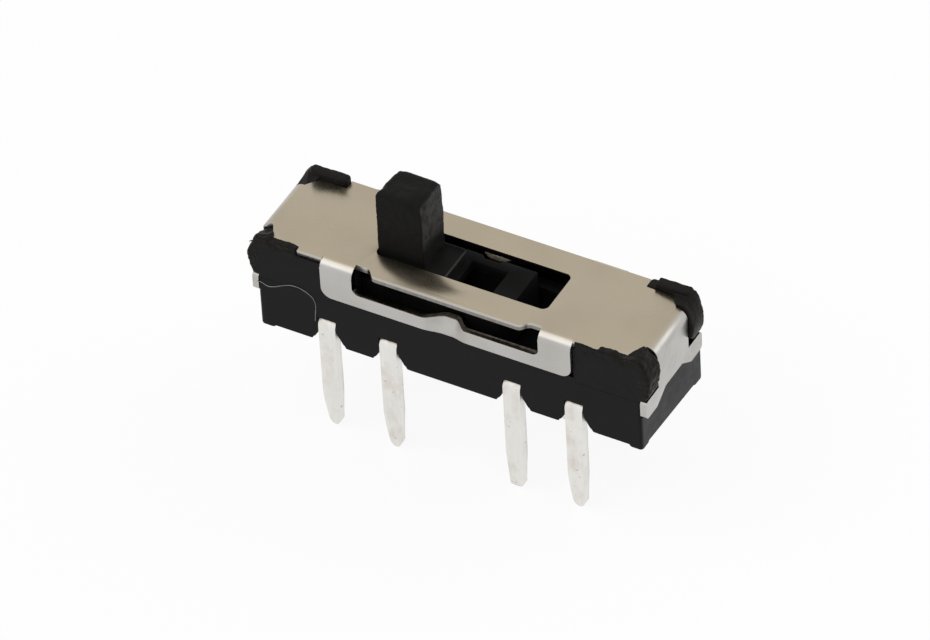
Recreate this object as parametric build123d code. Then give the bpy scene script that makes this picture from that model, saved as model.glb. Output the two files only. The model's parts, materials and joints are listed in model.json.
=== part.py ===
"""Sub-miniature two-pole, three-position slide switch for a circuit board, in millimetres.

A moulded base holds eight insert-moulded terminals, four along each side. A slider with a square
knob runs in the base, carries one bridging contact for each pole and stops at three places, one
pitch apart. A folded sheet cover closes the base: a T-shaped flange at each end is held by the
base's formed-over corners, and a strip along each side has an inward bump, the detent.

Frame: +X along the slider's travel, +Z up, the origin on the board's surface at the middle of the
terminal pattern. The slider is drawn at its stop towards -X.
"""

import math
import os

from build123d import *

# ---- Overall sizes ------------------------------------------------------------------------------
BODY_LENGTH = 12.40  # base, end face to end face
BODY_WIDTH = 3.40  # base, side face to side face
BODY_HEIGHT = 3.34  # board surface to the top of the cover

# ---- Terminals ----------------------------------------------------------------------------------
PITCH = 2.00  # one switching step, and the spacing of each pair of legs
LEG_WIDTH = 0.57
LEG_TIP_WIDTH = 0.44  # where the round tip starts
LEG_TAPER = 1.10  # length of the narrowing above the round tip
LEG_DROP = 3.15  # board surface to the tip
TERMINAL_SHEET = 0.28
TERMINAL_RISE = 0.03  # contact pad above the floor
TERMINAL_BEND = 0.34  # outer radius where the leg turns down
PAD_REACH = 1.10  # from the leg's outer face to the pad's inner end
PAD_GAP = 0.27  # between the pads of a pair
MIDDLE_GAP = 0.50  # between the two middle pads

# ---- Base ---------------------------------------------------------------------------------------
FOOT_HEIGHT = 0.20
FOOT_SIZE = 0.48
FOOT_EDGE = 0.11  # radius round a foot's underside
FOOT_ROOT = 0.20  # how far a foot runs up into the base
FLOOR_TOP = 1.00
SIDE_WALL = 0.45
END_WALL = 0.62
CORNER_ROUND = 0.12
NOTCH_GAP = 0.03  # each side of a leg, and behind it
NOTCH_LEFT_MOUTH = 0.12  # how much further the notch opens at the bottom edge, towards -X
NOTCH_LEFT_FLARE = 0.20  # height of that flare
NOTCH_RIGHT_MOUTH = 0.24
NOTCH_RIGHT_FLARE = 0.44
END_RECESS = 0.05  # depth of the seat for each end flange
RIDGE_LENGTH = 1.34  # formed ridge along each side at the corner
RIDGE_FRONT_WIDTH = 0.24
RIDGE_BACK_WIDTH = 0.38
RIDGE_FRONT_RISE = 0.05  # above the cover, pressed flat
RIDGE_BACK_RISE = 0.20
RIDGE_END_GAP = 0.06  # ridge to the base's end face
RIDGE_CORNER_SHARE = 0.33  # corner radius seen from above, as a share of the ridge's width
RIDGE_TOP_SHARE = 0.50  # radius of the top edges, as a share of the ridge's rise
LOBE_OVERHANG = 0.30  # formed corner beyond the base's end face
LOBE_LIP = 0.14  # the same at its lower edge
LOBE_LENGTH = 0.76  # along Y, from the side face inwards
LOBE_SLOPE = 0.34  # bevel across its lower inner corner
LOBE_RISE = 0.07  # above the cover
LOBE_ROUND = 0.07

# ---- Cover --------------------------------------------------------------------------------------
SHEET = 0.20
SIDE_PROUD = 0.10  # side flange beyond the base's side face
FRONT_BEND = 0.35  # outer radius
BACK_BEND = 0.25
END_BEND = 0.36
FLANGE_GAP = 0.02  # between a flange and the plastic beside it
SIDE_DROP = 1.31  # cover's top to the strip's lower edge
STRIP_HEIGHT = 0.46
LEG_INNER = 3.00  # half the length of the side window
LEG_OUTER = 4.04  # half the length of the side flange
LEG_ROUND = 0.34
WINDOW_ROUND = 0.22
LIP_HALF = 2.38  # half the length of the flat lip over the window
LIP_SLOPE = 0.20  # along X, where the lip's end slopes back to the plate
LIP_ROUND = 0.22
FLANGE_SIDE_GAP = 0.03  # side flange to the plastic at its two ends
EDGE_INSET = 0.06  # plate's edge inside the base's side face, all but the front lip
CORNER_CUT = 0.30  # along X, across each corner of the plate
TAB_DROP = 1.41  # cover's top to the top of an end flange's tabs
TAB_HEIGHT = 0.63
TAB_ROUND = 0.14
ARCH_RISE = 0.34
ARCH_HALF = 0.48  # half width of the arch's flat top
ARCH_MOUTH_HALF = 1.00
SLOT_WIDTH = 1.62
SLOT_ROUND = 0.20

# ---- Detent -------------------------------------------------------------------------------------
BUMP_DEPTH = 0.38
BUMP_TOP_HALF = 0.24
BUMP_FOOT_HALF = 0.66
BUMP_ROUND = 0.12
DETENT_NOTCH = 0.12
DETENT_GAP = 0.04  # between a bump and the lands beside a notch
BUMP_SPRING = 0.25  # free length of the strip beside the bump

# ---- Slider -------------------------------------------------------------------------------------
KNOB_LENGTH = 1.50  # along X, where it leaves the cover
KNOB_WIDTH = 1.28
KNOB_RISE = 2.22  # above the cover
KNOB_DRAFT = 0.3  # degrees
KNOB_ROUND = 0.16
SLOT_END_GAP = 0.02  # knob to the slot's end at each stop
SLIDER_END_GAP = 0.16  # slider to the base's end wall at each stop
SLIDER_FLOAT = 0.05  # raised pad to the cover's underside
DECK_LIFT = 0.16  # deck's underside above the contact pads
PAD_LENGTH = 2.80  # raised pad round the knob
PAD_WIDTH = 1.36
PAD_STEP = 0.45  # pad's top above the deck
WINDOW_GAP = 0.10  # raised pad to the window in the deck
WINDOW_END = 0.76  # window to the slider's end
WINDOW_WIDTH = 1.60
WINDOW_DEPTH = 0.50  # down to the web
POCKET_WEB = 0.40  # between the two contact pockets
POCKET_SIDE_WALL = 0.16
POCKET_END_WALL = 0.62
POCKET_ROOF = 0.34  # deck's top to a pocket's roof

# ---- Bridging contacts --------------------------------------------------------------------------
CONTACT_SHEET = 0.12
CONTACT_SIDE_GAP = 0.06  # contact to the pocket's walls
CONTACT_FLOAT = 0.03  # foot to pad
CONTACT_TOP_HALF = 0.40  # half the flat that bears on the pocket's roof
CONTACT_FOOT_HALF = 0.13
CONTACT_TIP_RISE = 0.30
CONTACT_TIP_REACH = 0.28
CONTACT_BEND = 0.10  # centreline radius
FINGER_SLIT = 0.10
FINGER_ROOT = 0.55  # from the middle of the contact to each slit

OVERCUT = 1.0  # how far a cutting tool runs past the face that it opens

# ---- Sizes that follow from those above ---------------------------------------------------------
half_length = BODY_LENGTH / 2
half_width = BODY_WIDTH / 2
sheet_under = BODY_HEIGHT - SHEET
travel = 2 * PITCH
terminal_top = FLOOR_TOP + TERMINAL_RISE
terminal_under = terminal_top - TERMINAL_SHEET
leg_middles = [-2 * PITCH, -PITCH, PITCH, 2 * PITCH]

side_outer = half_width + SIDE_PROUD
end_seat = half_length - END_RECESS
end_outer = end_seat + FLANGE_GAP + SHEET
end_bend_start = end_outer - END_BEND
strip_bottom = BODY_HEIGHT - SIDE_DROP
strip_top = strip_bottom + STRIP_HEIGHT
tab_top = BODY_HEIGHT - TAB_DROP
tab_bottom = tab_top - TAB_HEIGHT
neck_half = half_width - LOBE_LENGTH - FLANGE_GAP
ridge_start = half_length - RIDGE_LENGTH

cavity_half_length = half_length - END_WALL
cavity_half_width = half_width - SIDE_WALL
bump_inner = side_outer - SHEET - BUMP_DEPTH
spring_half = BUMP_FOOT_HALF + BUMP_SPRING

slider_half_width = bump_inner - DETENT_GAP
slider_half_length = cavity_half_length - SLIDER_END_GAP - travel / 2
slot_length = KNOB_LENGTH + travel + 2 * SLOT_END_GAP
pad_top = sheet_under - SLIDER_FLOAT
deck_top = pad_top - PAD_STEP
deck_bottom = terminal_top + DECK_LIFT
pocket_roof = deck_top - POCKET_ROOF
pocket_half_length = slider_half_length - POCKET_END_WALL
pocket_inner = POCKET_WEB / 2
pocket_outer = slider_half_width - DETENT_NOTCH - POCKET_SIDE_WALL


def block(x_limits, y_limits, z_limits):
    """A box given by its lowest and highest x, y and z."""
    lows, highs = zip(x_limits, y_limits, z_limits)
    sizes = [high - low for low, high in zip(lows, highs)]
    middle = [(low + high) / 2 for low, high in zip(lows, highs)]
    return Pos(*middle) * Box(*sizes)


def both_ways(limit):
    """Limits the same distance each side of the middle."""
    return (-limit, limit)


def with_mirrors(shape, *planes):
    """The shape joined to its copy in each of the planes in turn."""
    for plane in planes:
        shape = shape + mirror(shape, about=plane)
    return shape


def run_along_y(outline, y_low, y_high):
    """A face drawn in (x, z), run from y_low to y_high."""
    return extrude(Plane.XZ.offset(-y_low) * outline, amount=y_high - y_low, dir=(0, 1, 0))


def run_along_x(outline, x_low, x_high):
    """A face drawn in (y, z), run from x_low to x_high."""
    return extrude(Plane.YZ.offset(x_low) * outline, amount=x_high - x_low, dir=(1, 0, 0))


def run_along_z(outline, z_low, z_high):
    """A face drawn in (x, y), run from z_low to z_high."""
    return extrude(Pos(0, 0, z_low) * outline, amount=z_high - z_low, dir=(0, 0, 1))


# ---- Terminals ----------------------------------------------------------------------------------
def leg_outline(middle):
    """The leg seen from the side of the switch, with its taper and round tip."""
    half, tip_half = LEG_WIDTH / 2, LEG_TIP_WIDTH / 2
    tip_start = -LEG_DROP + tip_half
    taper_start = tip_start + LEG_TAPER
    right = Polyline(
        (middle - half, terminal_top),
        (middle + half, terminal_top),
        (middle + half, taper_start),
        (middle + tip_half, tip_start),
    )
    tip = ThreePointArc(right @ 1, (middle, -LEG_DROP), (middle - tip_half, tip_start))
    left = Polyline(tip @ 1, (middle - half, taper_start), right @ 0)
    return make_face([right, tip, left])


def strip_profile():
    """The front terminals seen from the end: pad, bend and leg at the sheet's thickness."""
    inner_radius = TERMINAL_BEND - TERMINAL_SHEET
    outer_y, bend_y, pad_y = -half_width, -half_width + TERMINAL_BEND, -half_width + PAD_REACH
    bend_z = terminal_top - TERMINAL_BEND
    inner_y = outer_y + TERMINAL_SHEET
    top = Line((pad_y, terminal_top), (bend_y, terminal_top))
    outer_bend = CenterArc((bend_y, bend_z), TERMINAL_BEND, 90, 90)
    leg = Polyline(outer_bend @ 1, (outer_y, -LEG_DROP), (inner_y, -LEG_DROP), (inner_y, bend_z))
    inner_bend = CenterArc((bend_y, bend_z), inner_radius, 180, -90)
    under = Polyline(inner_bend @ 1, (pad_y, terminal_under), top @ 0)
    return make_face([top, outer_bend, leg, inner_bend, under])


def terminal(middle):
    """The front terminal whose leg is at x = middle: a contact pad, a bend and a leg in one strip."""
    is_outer = abs(middle) > abs(leg_middles[1])
    pad_inner = PITCH + LEG_WIDTH / 2 + PAD_GAP if is_outer else MIDDLE_GAP / 2
    pad_outer = abs(middle) + LEG_WIDTH / 2
    x_limits = sorted(math.copysign(x, middle) for x in (pad_inner, pad_outer))
    y_limits = (-half_width + TERMINAL_BEND + NOTCH_GAP, -half_width + PAD_REACH)
    pad = block(x_limits, y_limits, (terminal_under, terminal_top))
    strip = run_along_x(strip_profile(), *both_ways(half_length))
    leg = run_along_y(leg_outline(middle), *both_ways(half_width))
    return (strip & leg) + pad


def terminals():
    """Every terminal by name: the front row, and the back row as its mirror image."""
    found = {}
    for number, middle in enumerate(leg_middles, start=1):
        front = terminal(middle)
        found[f"terminal_front_{number}"] = front
        found[f"terminal_back_{number}"] = mirror(front, about=Plane.XZ)
    return found


# ---- Base ---------------------------------------------------------------------------------------
def leg_notches():
    """The openings in the base's side faces in which the legs turn down."""
    half = LEG_WIDTH / 2 + NOTCH_GAP
    left, right = half + NOTCH_LEFT_MOUTH, half + NOTCH_RIGHT_MOUTH
    low = FOOT_HEIGHT - OVERCUT
    outline = Polygon(
        (half, terminal_top), (half, FOOT_HEIGHT + NOTCH_RIGHT_FLARE), (right, FOOT_HEIGHT),
        (right, low), (-left, low), (-left, FOOT_HEIGHT),
        (-half, FOOT_HEIGHT + NOTCH_LEFT_FLARE), (-half, terminal_top),
        align=None,
    )
    one = run_along_y(outline, -half_width - OVERCUT, -half_width + TERMINAL_SHEET + NOTCH_GAP)
    return with_mirrors(Part() + [Pos(middle, 0, 0) * one for middle in leg_middles], Plane.XZ)


def feet():
    """A low rounded pad under each corner."""
    limits = (half_length - FOOT_SIZE, half_length), (half_width - FOOT_SIZE, half_width)
    foot = block(*limits, (0, FOOT_HEIGHT + FOOT_ROOT))
    foot = fillet(foot.edges().filter_by(Axis.Z), CORNER_ROUND)
    foot = fillet(foot.edges().group_by(Axis.Z)[0], FOOT_EDGE)
    return with_mirrors(foot, Plane.YZ, Plane.XZ)


def lobe():
    """The end of the corner at +X +Y, formed outwards and down over the cover's end flange."""
    low, top = tab_top + FLANGE_GAP, BODY_HEIGHT + LOBE_RISE
    root = end_bend_start - CORNER_CUT
    lower = Polyline((half_length, top), (root, top), (root, low), (half_length + LOBE_LIP, low))
    belly = ThreePointArc(lower @ 1, (half_length + LOBE_OVERHANG, (low + top) / 2), lower @ 0)
    side_view = make_face([lower, belly])
    inner = half_width - LOBE_LENGTH
    end_view = Polygon(
        (half_width, low), (inner + LOBE_SLOPE, low), (inner, low + LOBE_SLOPE),
        (inner, top), (half_width, top),
        align=None,
    )
    shape = run_along_y(side_view, 0, half_width) & run_along_x(end_view, root, end_outer + OVERCUT)
    outside = shape.edges().filter_by(lambda edge: edge.center().X > half_length + LOBE_LIP / 2)
    return fillet(outside, LOBE_ROUND)


def ridge(width, rise):
    """The part of the corner at +X +Y that is formed upwards beside the cover."""
    x_limits = (ridge_start, half_length - RIDGE_END_GAP)
    y_limits = (half_width - width, half_width)
    shape = block(x_limits, y_limits, (sheet_under - SHEET, BODY_HEIGHT + rise))
    shape = fillet(shape.edges().filter_by(Axis.Z), RIDGE_CORNER_SHARE * width)
    return fillet(shape.edges().group_by(Axis.Z)[-1], RIDGE_TOP_SHARE * min(rise, width))


def formed_corners():
    """All four corners: high ridges at the back, flattened ones at the front."""
    back = lobe() + ridge(RIDGE_BACK_WIDTH, RIDGE_BACK_RISE)
    front = mirror(lobe() + ridge(RIDGE_FRONT_WIDTH, RIDGE_FRONT_RISE), about=Plane.XZ)
    corners = with_mirrors(back + front, Plane.YZ)
    top = BODY_HEIGHT + OVERCUT
    neck = neck_half + FLANGE_GAP
    bends = block((end_bend_start, end_outer + OVERCUT), both_ways(neck), (sheet_under, top))
    return corners - run_along_z(plate_outline(), sheet_under, top) - with_mirrors(bends, Plane.YZ)


def end_seats():
    """The room that each end flange takes from the base, all but the boss that fills its arch."""
    low = tab_bottom - FLANGE_GAP
    seat = block((end_seat, half_length + OVERCUT), both_ways(BODY_WIDTH), (low, BODY_HEIGHT))
    gap = FLANGE_GAP
    boss = Polygon(
        (-ARCH_MOUTH_HALF + gap, low), (-ARCH_HALF + gap, tab_bottom + ARCH_RISE - gap),
        (ARCH_HALF - gap, tab_bottom + ARCH_RISE - gap), (ARCH_MOUTH_HALF - gap, low),
        align=None,
    )
    seat -= run_along_x(boss, end_seat, half_length + OVERCUT)
    return with_mirrors(seat, Plane.YZ)


def base():
    """The moulded base, cut round the terminals that are moulded into it."""
    body = block(both_ways(half_length), both_ways(half_width), (FOOT_HEIGHT, sheet_under))
    body = fillet(body.edges().filter_by(Axis.Z), CORNER_ROUND)
    body -= end_seats()
    top_ends = body.edges().filter_by(Axis.Y).group_by(Axis.Z)[-1]
    body = fillet(top_ends, END_BEND - SHEET)

    seat_y = side_outer - SHEET - FLANGE_GAP
    flange_room = block(
        both_ways(LEG_OUTER + FLANGE_SIDE_GAP),
        (seat_y, side_outer + OVERCUT),
        (strip_bottom - FLANGE_GAP, BODY_HEIGHT + OVERCUT),
    )
    body -= with_mirrors(flange_room, Plane.XZ)
    for side, radius in ((-1, FRONT_BEND), (1, BACK_BEND)):
        top_sides = body.edges().filter_by(Axis.X).group_by(Axis.Z)[-1]
        under_bends = top_sides.filter_by(lambda e: abs(e.center().Y - side * seat_y) < FLANGE_GAP)
        body = fillet(under_bends, radius - SHEET)

    cavity = block(
        both_ways(cavity_half_length), both_ways(cavity_half_width), (FLOOR_TOP, BODY_HEIGHT)
    )
    openings = block(
        both_ways(LEG_INNER), both_ways(half_width), (strip_bottom - FLANGE_GAP, BODY_HEIGHT)
    )
    body = body - cavity - openings + feet() + formed_corners() - leg_notches()
    for shape in terminals().values():
        body -= shape
    return body


# ---- Cover --------------------------------------------------------------------------------------
def plate_edge(ridge_width, bend_radius):
    """The plate's side edge from a flange's bend to its +X end, as (x, distance from the middle)."""
    edge_y = half_width - EDGE_INSET
    ridge_y = half_width - ridge_width
    return [
        (LEG_OUTER, side_outer - bend_radius),
        (LEG_OUTER, edge_y),
        (ridge_start, edge_y),
        (ridge_start, ridge_y),
        (end_bend_start - CORNER_CUT, ridge_y),
        (end_bend_start, neck_half),
    ]


def plate_outline():
    """The flat top seen from above, without its slot."""
    front_bend, back_bend = side_outer - FRONT_BEND, side_outer - BACK_BEND
    lip = [(LIP_HALF, half_width), (LIP_HALF + LIP_SLOPE, front_bend)]
    front = [(x, -y) for x, y in [*lip, *plate_edge(RIDGE_FRONT_WIDTH, FRONT_BEND)]]
    straight = [(LEG_INNER, half_width - EDGE_INSET), (LEG_INNER, back_bend)]
    back = [*straight, *plate_edge(RIDGE_BACK_WIDTH, BACK_BEND)]
    right = [*front, *reversed(back)]
    left = [(-x, y) for x, y in reversed(right)]
    return Polygon(*right, *left, align=None)


def plate():
    """The flat top with its slot and the rounded ends of its front lip."""
    outline = plate_outline()
    lip_ends = outline.vertices().filter_by(lambda v: abs(v.X) < LEG_INNER)
    outline = fillet(lip_ends, LIP_ROUND)
    outline -= RectangleRounded(slot_length, SLOT_WIDTH, SLOT_ROUND)
    return run_along_z(outline, sheet_under, BODY_HEIGHT)


def flange_profile(outer, radius, bottom):
    """A flange that turns down from the plate, as (distance outwards, z)."""
    centre = (outer - radius, BODY_HEIGHT - radius)
    inner_radius = radius - SHEET
    root = outer - radius - SHEET
    top = Line((root, BODY_HEIGHT), (centre[0], BODY_HEIGHT))
    outer_bend = CenterArc(centre, radius, 90, -90)
    leg = Polyline(outer_bend @ 1, (outer, bottom), (outer - SHEET, bottom), (outer - SHEET, centre[1]))
    inner_bend = CenterArc(centre, inner_radius, 0, 90)
    under = Polyline(inner_bend @ 1, (root, sheet_under), top @ 0)
    return make_face([top, outer_bend, leg, inner_bend, under])


def end_flange():
    """The T-shaped flange at +X, with the arch in its lower edge."""
    strip = run_along_y(flange_profile(end_outer, END_BEND, tab_bottom), *both_ways(half_width))
    top = BODY_HEIGHT + OVERCUT
    tabs = Pos(0, (tab_top + tab_bottom) / 2) * RectangleRounded(BODY_WIDTH, TAB_HEIGHT, TAB_ROUND)
    neck = Pos(0, (top + tab_bottom) / 2) * Rectangle(2 * neck_half, top - tab_bottom)
    arch = Polygon(
        (-ARCH_MOUTH_HALF, tab_bottom), (-ARCH_HALF, tab_bottom + ARCH_RISE),
        (ARCH_HALF, tab_bottom + ARCH_RISE), (ARCH_MOUTH_HALF, tab_bottom),
        align=None,
    )
    return strip & run_along_x(tabs + neck - arch, 0, end_outer + OVERCUT)


def bump_outline():
    """The sprung part of the back strip seen from above, with its inward bump."""
    outer, inner = side_outer, side_outer - SHEET
    slope = math.atan2(BUMP_DEPTH, BUMP_FOOT_HALF - BUMP_TOP_HALF)
    spread = SHEET * math.tan(slope / 2)
    outer_edge = [
        (spring_half, outer), (BUMP_FOOT_HALF, outer), (BUMP_TOP_HALF, outer - BUMP_DEPTH)
    ]
    inner_edge = [
        (BUMP_TOP_HALF - spread, inner - BUMP_DEPTH), (BUMP_FOOT_HALF - spread, inner),
        (spring_half, inner),
    ]
    right = [*inner_edge, *outer_edge]
    left = [(-x, y) for x, y in reversed(right)]
    outline = Polygon(*right, *left, align=None)
    bends = outline.vertices().filter_by(lambda v: abs(v.X) < spring_half - BUMP_ROUND)
    return fillet(bends, BUMP_ROUND)


def side_flange(bend_radius):
    """The back flange: two legs joined by a strip with the detent bump."""
    profile = flange_profile(side_outer, bend_radius, strip_bottom)
    strip = run_along_x(profile, *both_ways(LEG_OUTER))
    lower_corners = strip.edges().filter_by(Axis.Y).group_by(Axis.Z)[0]
    strip = fillet(lower_corners, LEG_ROUND)
    top = BODY_HEIGHT + OVERCUT
    window = Pos(0, (top + strip_top) / 2) * RectangleRounded(
        2 * LEG_INNER, top - strip_top, WINDOW_ROUND
    )
    strip -= run_along_y(window, 0, side_outer + OVERCUT)
    strip -= block(both_ways(spring_half), (0, side_outer + OVERCUT), (0, strip_top + OVERCUT))
    return strip + run_along_z(bump_outline(), strip_bottom, strip_top)


def cover():
    """The folded sheet cover in one piece."""
    ends = with_mirrors(end_flange(), Plane.YZ)
    front = mirror(side_flange(FRONT_BEND), about=Plane.XZ)
    return plate() + ends + side_flange(BACK_BEND) + front


# ---- Slider -------------------------------------------------------------------------------------
def knob():
    """The square knob, upright in the slot and drafted above the cover."""
    stem = block(both_ways(KNOB_LENGTH / 2), both_ways(KNOB_WIDTH / 2), (deck_bottom, BODY_HEIGHT))
    foot = Pos(0, 0, BODY_HEIGHT) * Rectangle(KNOB_LENGTH, KNOB_WIDTH)
    grip = extrude(foot, amount=KNOB_RISE, taper=KNOB_DRAFT)
    shape = stem + grip
    return fillet(shape.edges().group_by(Axis.Z)[-1], KNOB_ROUND)


def detent_notches():
    """Three notches in each side of the slider, one pitch apart, that take the cover's bumps."""
    edge, bottom = slider_half_width, slider_half_width - DETENT_NOTCH
    mouth_half = BUMP_TOP_HALF + DETENT_NOTCH
    outline = Polygon(
        (-mouth_half, edge), (-BUMP_TOP_HALF, bottom), (BUMP_TOP_HALF, bottom), (mouth_half, edge),
        align=None,
    )
    one = run_along_z(outline, deck_bottom - OVERCUT, deck_top + OVERCUT)
    return with_mirrors(Part() + [Pos(step * PITCH, 0, 0) * one for step in (-1, 0, 1)], Plane.XZ)


def slider():
    """The slider at its middle stop: knob, raised pad and a deck with pockets under it."""
    lengths = both_ways(slider_half_length)
    deck = block(lengths, both_ways(slider_half_width), (deck_bottom, deck_top))
    pad = block(both_ways(PAD_LENGTH / 2), both_ways(PAD_WIDTH / 2), (deck_bottom, pad_top))
    pocket = block(
        both_ways(pocket_half_length), (pocket_inner, pocket_outer),
        (deck_bottom - OVERCUT, pocket_roof),
    )
    window = block(
        (PAD_LENGTH / 2 + WINDOW_GAP, slider_half_length - WINDOW_END), both_ways(WINDOW_WIDTH / 2),
        (deck_top - WINDOW_DEPTH, deck_top + OVERCUT),
    )
    body = deck + pad + knob()
    return body - with_mirrors(pocket, Plane.XZ) - with_mirrors(window, Plane.YZ) - detent_notches()


# ---- Bridging contacts --------------------------------------------------------------------------
def contact():
    """The back contact at the middle stop: a flat top, two arms and feet, and split ends."""
    top = pocket_roof - CONTACT_SHEET / 2
    low = terminal_top + CONTACT_FLOAT + CONTACT_SHEET / 2
    foot = PITCH / 2
    half = [
        (CONTACT_TOP_HALF, top),
        (foot - CONTACT_FOOT_HALF, low),
        (foot + CONTACT_FOOT_HALF, low),
        (foot + CONTACT_FOOT_HALF + CONTACT_TIP_REACH, low + CONTACT_TIP_RISE),
    ]
    path = FilletPolyline(*[(-x, z) for x, z in reversed(half)], *half, radius=CONTACT_BEND)
    outline = make_face(offset(path, amount=CONTACT_SHEET / 2, side=Side.BOTH))
    y_low, y_high = pocket_inner + CONTACT_SIDE_GAP, pocket_outer - CONTACT_SIDE_GAP
    shape = run_along_y(outline, y_low, y_high)
    y_middle = (y_low + y_high) / 2
    slit = block(
        (FINGER_ROOT, foot + OVERCUT),
        (y_middle - FINGER_SLIT / 2, y_middle + FINGER_SLIT / 2),
        (0, BODY_HEIGHT),
    )
    return shape - with_mirrors(slit, Plane.YZ)


def main():
    start = Pos(-travel / 2, 0, 0)
    nodes = {
        "base": base(),
        "cover": cover(),
        "slider": start * slider(),
        "contact_back": start * contact(),
        "contact_front": start * mirror(contact(), about=Plane.XZ),
    }
    nodes |= terminals()
    os.makedirs("parts", exist_ok=True)
    for name, shape in nodes.items():
        export_step(shape, f"parts/{name}.step")


main()
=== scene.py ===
"""The looks of a miniature slide switch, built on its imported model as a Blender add-on script."""

import json
from math import cos, radians, sin

import bmesh
import bpy
from bpy.props import FloatProperty, FloatVectorProperty, PointerProperty
from bpy.types import Operator, Panel, PropertyGroup
from mathutils import Matrix, Vector

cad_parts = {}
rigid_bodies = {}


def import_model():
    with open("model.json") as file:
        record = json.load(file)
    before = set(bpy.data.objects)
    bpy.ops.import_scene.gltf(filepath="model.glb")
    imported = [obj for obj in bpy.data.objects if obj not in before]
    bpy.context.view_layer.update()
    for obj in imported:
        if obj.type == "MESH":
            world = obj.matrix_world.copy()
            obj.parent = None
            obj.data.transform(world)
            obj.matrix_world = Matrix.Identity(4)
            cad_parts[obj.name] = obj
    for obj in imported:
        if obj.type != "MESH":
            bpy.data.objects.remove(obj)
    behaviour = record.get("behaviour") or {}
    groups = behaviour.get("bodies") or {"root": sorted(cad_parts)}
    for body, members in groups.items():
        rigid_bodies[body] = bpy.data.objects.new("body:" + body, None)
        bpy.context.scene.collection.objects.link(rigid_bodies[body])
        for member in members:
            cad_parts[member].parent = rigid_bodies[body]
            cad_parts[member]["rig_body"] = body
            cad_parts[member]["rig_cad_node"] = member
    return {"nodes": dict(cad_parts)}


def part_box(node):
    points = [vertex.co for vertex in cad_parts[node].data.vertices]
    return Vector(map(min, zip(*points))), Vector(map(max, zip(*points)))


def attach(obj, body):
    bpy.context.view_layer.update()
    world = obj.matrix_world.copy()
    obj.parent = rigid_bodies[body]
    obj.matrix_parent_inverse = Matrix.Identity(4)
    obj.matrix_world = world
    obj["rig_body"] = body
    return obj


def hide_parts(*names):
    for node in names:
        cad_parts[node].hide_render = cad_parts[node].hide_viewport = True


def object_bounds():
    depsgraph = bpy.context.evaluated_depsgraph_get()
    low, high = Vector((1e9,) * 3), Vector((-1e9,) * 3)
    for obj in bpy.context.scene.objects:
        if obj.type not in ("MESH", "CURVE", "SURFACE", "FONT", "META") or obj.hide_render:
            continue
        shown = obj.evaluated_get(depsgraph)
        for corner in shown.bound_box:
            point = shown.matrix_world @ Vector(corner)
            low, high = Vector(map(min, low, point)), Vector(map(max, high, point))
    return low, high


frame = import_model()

bl_info = {
    "name": "Slide Switch Looks",
    "version": (1, 0, 0),
    "blender": (4, 5, 0),
    "location": "3D View > Sidebar > Slide Switch",
    "description": "Finishes a packed slide switch: plating, moulded plastic and formed corners",
    "category": "Object",
}

MM = 0.001
EDGE_ROOM = 2.2
BIG = 1.0 / MM
HOUSING = "housing"
SLIDING_UNIT = "sliding_unit"
TERMINALS = [f"terminal_{row}_{number}" for row in ("front", "back") for number in range(1, 5)]
CONTACTS = ["contact_front", "contact_back"]
CAD_BOX = [list(corner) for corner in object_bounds()]


def node_box_mm(node):
    """The lowest and highest corners of a CAD node, in millimetres."""
    low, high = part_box(node)
    return low / MM, high / MM


# ---- Sizes and colours that a user would change ---------------------------------------------------
class SwitchSizes(PropertyGroup):
    sheet_edge: FloatProperty(
        name="Sheet edge", description="Rounding of the cover's sheared edges, in mm",
        default=0.03, min=0.0, max=0.08,
    )
    moulded_edge: FloatProperty(
        name="Moulded edge", description="Rounding of the moulded plastic's edges, in mm",
        default=0.03, min=0.0, max=0.08,
    )
    terminal_edge: FloatProperty(
        name="Terminal edge", description="Rounding of the legs' edges, in mm",
        default=0.022, min=0.0, max=0.08,
    )
    grain: FloatProperty(
        name="Voxel", description="Mesh size of the formed corners and the knob, in mm",
        default=0.024, min=0.015, max=0.06,
    )
    corner_waviness: FloatProperty(
        name="Corner waviness", description="Unevenness of the corners where the plastic was formed over, in mm",
        default=0.07, min=0.0, max=0.15,
    )
    knob_waviness: FloatProperty(
        name="Knob waviness", description="Unevenness of the knob's worn surface, in mm",
        default=0.045, min=0.0, max=0.1,
    )
    lint_thickness: FloatProperty(
        name="Lint thickness", description="Thickness of the fibre stuck to the front, in mm",
        default=0.026, min=0.005, max=0.05,
    )


class SwitchColours(PropertyGroup):
    # Sheet, top and sides: the plating's tone, with a painted reflection of a darker, warmer room in the top's
    # colour and in the difference between the two.
    sheet_top: FloatVectorProperty(
        name="Sheet, top", description="Plating on the top of the cover", subtype="COLOR",
        default=(0.425, 0.367, 0.276), min=0.0, max=1.0,
    )
    sheet_side: FloatVectorProperty(
        name="Sheet, sides", description="Plating on the cover's flanges", subtype="COLOR",
        default=(0.485, 0.472, 0.450), min=0.0, max=1.0,
    )
    tin: FloatVectorProperty(
        name="Tin", description="Plating of the terminals", subtype="COLOR",
        default=(0.80, 0.785, 0.75), min=0.0, max=1.0,
    )
    brass: FloatVectorProperty(
        name="Contact strip", description="Plated strip of the bridging contacts", subtype="COLOR",
        default=(0.70, 0.62, 0.46), min=0.0, max=1.0,
    )
    base_black: FloatVectorProperty(
        name="Base plastic", description="Black of the moulded base", subtype="COLOR",
        default=(0.0054, 0.0054, 0.0058), min=0.0, max=1.0,
    )
    formed_black: FloatVectorProperty(
        name="Formed plastic", description="Black where the base was formed over the cover",
        subtype="COLOR", default=(0.0078, 0.0066, 0.0056), min=0.0, max=1.0,
    )
    knob_black: FloatVectorProperty(
        name="Slider plastic", description="Black of the slider and its knob", subtype="COLOR",
        default=(0.0052, 0.0052, 0.0049), min=0.0, max=1.0,
    )
    lint: FloatVectorProperty(
        name="Lint", description="Grey of the stuck fibre", subtype="COLOR",
        default=(0.19, 0.19, 0.21), min=0.0, max=1.0,
    )


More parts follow.
